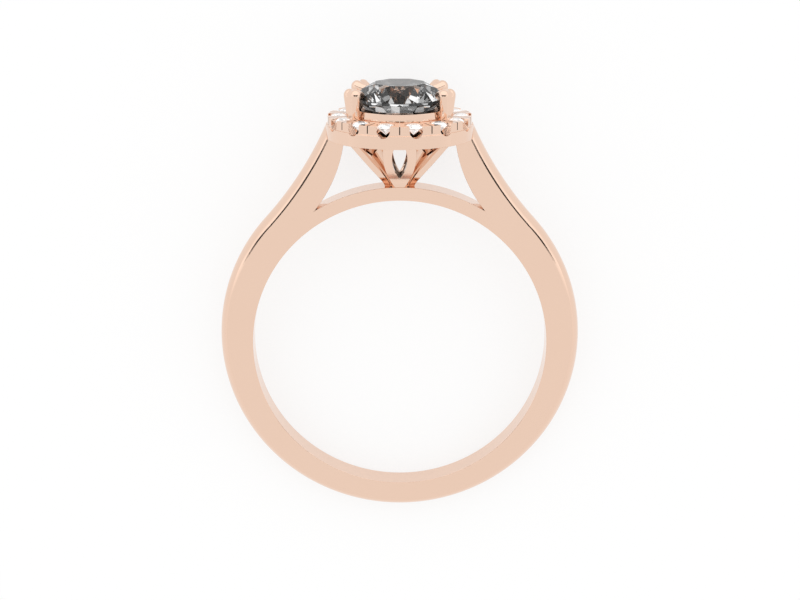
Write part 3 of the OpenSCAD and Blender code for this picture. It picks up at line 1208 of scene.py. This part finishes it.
@dataclass
class RoundCut:
    """A round cut stone: table, stars, kites and halves over its edge, and the facets below it."""

    diameter: float
    table: float = 0.57
    crown: float = 0.155
    edge: float = 0.03
    pavilion: float = 0.43
    star: float = 0.5
    low: float = 0.24
    rings: tuple[tuple[int, float], ...] = ((8, 0.0), (8, STEP), (16, 0.0), (16, 0.0), (8, STEP))
    # How much lighter the facets on the left and darker those on the right are painted: painted light on the
    # left, painted shade on the right
    flat: float = radians(0.8)
    lean: float = 0.12
    mixing: Colour = (97.3, 41.7, 5.1, 43.7)

    def corners(self) -> Points:
        """Where its corners are, with the middle of the edge at height 0.

        Returns:
            Radius and height of the table's corners, the stars' points, the upper and the lower side of the
            edge, the lower facets' points and the stone's foot.
        """
        r, half = self.diameter / 2, self.edge * self.diameter / 2
        table_r, rise, drop = self.table * r, self.crown * self.diameter, self.pavilion * self.diameter
        star_r = table_r + self.star * (r - table_r) / cos(STEP)
        star_z = half + rise - (star_r * cos(STEP) - table_r) * rise / (r - table_r)
        low_z = self.low * cos(STEP) * drop - half - drop
        top = [(table_r, half + rise), (star_r, star_z), (r, half)]
        return [*top, (r, -half), (self.low * r, low_z), (0.0, -half - drop)]

    def build(self) -> BMesh:
        """Builds the stone.

        Returns:
            The stone.
        """
        bm = bmesh.new()
        for (radius, height), (count, phase) in zip(self.corners(), self.rings):
            repeat(bm, [bm.verts.new((radius * sin(phase), radius * cos(phase), height))], count)
        bm.verts.new((0, 0, self.corners()[-1][1]))
        wrapped(bm)
        bmesh.ops.dissolve_limit(bm, angle_limit=self.flat, verts=bm.verts[:], edges=bm.edges[:])
        self._tone(bm)
        return bm

    def _tone(self, bm: BMesh) -> None:
        """Paints each facet lighter or darker in place of the reflections it would show, and paints the
        right half a little darker and the left half a little lighter as painted shade and light.

        Args:
            bm: the stone.
        """
        layer = bm.faces.layers.float.new(PAINTED_FACET_SHINE)
        turn, rise, start, spread = self.mixing
        for face in bm.faces:
            middle = face.calc_center_median() / self.diameter
            mixed = sin(turn * atan2(middle.y, middle.x) + rise * middle.z + start) * spread
            # Painted shade: facets on the right are pushed darker on the tone ramp, those on the left
            # lighter
            face[layer] = min(1.0, max(0.0, mixed % 1.0 + (self.lean if middle.x < 0 else -self.lean)))


@dataclass
class Stones:
    """The centre stone and the small stones of the halo."""

    halo: Halo
    claws: Claws

    def build(self, maker: Maker) -> None:
        """Cuts and sets every stone.

        Args:
            maker: finishes them.
        """
        centre = RoundCut(self.claws.stone_d).build()
        swing(centre, STEP)
        shift(centre, (0, 0, self.claws.stone_edge_z))
        maker.piece("centre_stone_cut", centre, Slot.GREY_STONE, "centre_stone", None)
        for number in range(1, self.halo.stones + 1):
            small = RoundCut(self.halo.stone_d, lean=0.0).build()
            shift(small, (0, -self.halo.stone_r, self.halo.stone_z))
            swing(small, (number - 0.5) * self.halo.pitch())
            node = f"halo_stone_{number:02d}"
            maker.piece(f"{node}_cut", small, Slot.CLEAR_STONE, node, None)


# Studio


@dataclass
class Studio:
    """Floor, soft light and the camera at the photo's angle."""

    lie: Lie
    camera_rise: float = radians(15)
    distance: float = 115.0
    aim_z: float = 2.35
    aim_x: float = 0.017
    lens: float = 91.8
    floor_size: float = 3.0
    room_white: float = 1.05
    room_bright: float = 2.0
    front_light: Stops = ((0.0, 0.49), (0.47, 0.49), (0.52, 0.56), (0.75, 0.64), (1.0, 0.64))
    back_light: Stops = ((0.0, 0.5), (0.52, 0.55), (0.6, 0.7), (0.65, 0.45), (0.75, 0.42), (0.85, 0.65))
    turn_over: Stops = ((0.25, 0.0), (0.75, 1.0))
    panel_scale: float = 1.6
    panel_bright: float = 3.6
    panel_light: Stops = ((0.28, 0.02), (0.42, 0.28), (0.53, 0.6), (0.62, 1.0))
    flag_depth: float = 0.97
    flag_low: float = 0.0
    flag_high: float = 0.26
    flag_width: float = 0.66
    wing_low: float = 0.1
    wing_high: float = 0.26
    wing_in: float = 0.67
    wing_out: float = 1.28

    def _direction(self, x: float, y: float, z: float) -> Vector:
        """A direction on the standing ring, in the row frame."""
        return self.lie.turn().to_3x3() @ Vector((x, y, z))

    def floor(self, finish: bpy.types.Material) -> None:
        """Lays the floor that the ring lies on.

        Args:
            finish: its material.
        """
        bm = bmesh.new()
        bmesh.ops.create_grid(bm, x_segments=4, y_segments=4, size=self.floor_size)
        thing = put("floor", mesh_of("floor", bm))
        thing.data.materials.append(finish)

    def _room(self, bench: Bench) -> Socket:
        """How bright the room is in each direction, as polished metal mirrors it.

        Args:
            bench: adds the nodes.

        Returns:
            The brightness.
        """

        def along(x: float, y: float, z: float) -> Socket:
            """How far a direction points along one of the standing ring's axes."""
            pair = {0: bench.place, 1: self._direction(x, y, z)}
            return bench.add("ShaderNodeVectorMath", {"operation": "DOT_PRODUCT"}, pair, out="Value")

        up, front, side = along(0, 0, 1), along(0, -1, 0), along(1, 0, 0).size()
        before = bench.ramp(up.share(), self.front_light) * self.room_bright
        behind = bench.ramp(up.share(), self.back_light) * self.room_bright
        ahead = bench.ramp(front.share(), self.turn_over)
        room = before * ahead + behind * (1.0 - ahead)
        flag = up.over(self.flag_low) * (1.0 - up.over(self.flag_high))
        flag = flag * (1.0 - (side - front * self.flag_width).over(0.0))
        wing = up.over(self.wing_low) * (1.0 - up.over(self.wing_high))
        wing = wing * (side - front * self.wing_in).over(0.0) * (front * self.wing_out - side).over(0.0)
        return room * (1.0 - flag * self.flag_depth) * (1.0 - wing * self.flag_depth)

    def light(self) -> None:
        """Sets a white room, where metal mirrors black flags and clear stones show bright panels."""
        world = bpy.data.worlds.new("studio")
        world.use_nodes = True
        bpy.context.scene.world = world
        bench = Bench(world.node_tree, "Generated")
        panels = bench.ramp(bench.cells(self.panel_scale), self.panel_light) * self.panel_bright
        mirrored = bench.add("ShaderNodeLightPath", out="Is Glossy Ray")
        through = bench.add("ShaderNodeLightPath", out="Is Transmission Ray")
        plain = (1.0 - mirrored) * (1.0 - through)
        shown = self._room(bench) * mirrored + panels * through * (1.0 - mirrored)
        strength = shown + plain * self.room_white
        white = bench.add("ShaderNodeBackground", None, {"Color": grey(1.0), "Strength": strength})
        bench.add("ShaderNodeOutputWorld", None, {"Surface": white})
        bpy.context.scene.view_settings.view_transform = "Standard"

    def camera(self) -> None:
        """Sets the camera at the photo's angle."""
        up = self._direction(0, sin(self.camera_rise), cos(self.camera_rise))
        back = self._direction(0, -cos(self.camera_rise), sin(self.camera_rise))
        aim = self.lie.matrix() @ Vector((self.aim_x, 0, self.aim_z))
        data = bpy.data.cameras.new("camera")
        data.lens = self.lens
        data.sensor_width = 36.0
        data.clip_start = MM
        thing = put("camera", data)
        turn = Matrix((up.cross(back), up, back)).transposed().to_4x4()
        thing.matrix_world = Matrix.Translation(aim + back * self.distance * MM) @ turn
        bpy.context.scene.camera = thing


def main() -> None:
    """Builds the ring's pieces and the studio in order."""
    logging.basicConfig(level=logging.INFO, format="%(name)s %(message)s")
    lie = Lie()
    # The stones' tone ramps paint their facets light and dark as painted reflections over their own grey and
    # clear colours, and each stone gives off a faint painted glow
    grey_tint_and_shine = ((0.15, 0.01), (0.36, 0.24), (0.55, 0.68), (0.68, 1.0))
    clear_tint_and_shine = ((0.1, 0.35), (0.3, 0.8), (0.6, 1.0))
    grey_stone = CutStone(grey_tint_and_shine, 2.4, 1.0, mirror=0.08, painted_sparkle_glow=0.02)
    clear_stone = CutStone(clear_tint_and_shine, 2.2, 0.4, glint_cell_scale=7000.0, painted_sparkle_glow=0.25)
    finishes = {
        Slot.ROSE_GOLD: RoseGold().make("rose_gold_polished"),
        Slot.GREY_STONE: grey_stone.make("grey_stone_cut"),
        Slot.CLEAR_STONE: clear_stone.make("clear_stone_cut"),
    }
    maker = Maker(lie, finishes)
    halo, claws = Halo(), Claws()
    for part in (Hoop(), Basket(), halo, claws, Stones(halo, claws)):
        part.build(maker)
        LOG.info("%s done", type(part).__name__)
    studio = Studio(lie)
    studio.floor(PaleFloor().make("pale_floor"))
    studio.light()
    studio.camera()


if __name__ == "__main__":
    main()
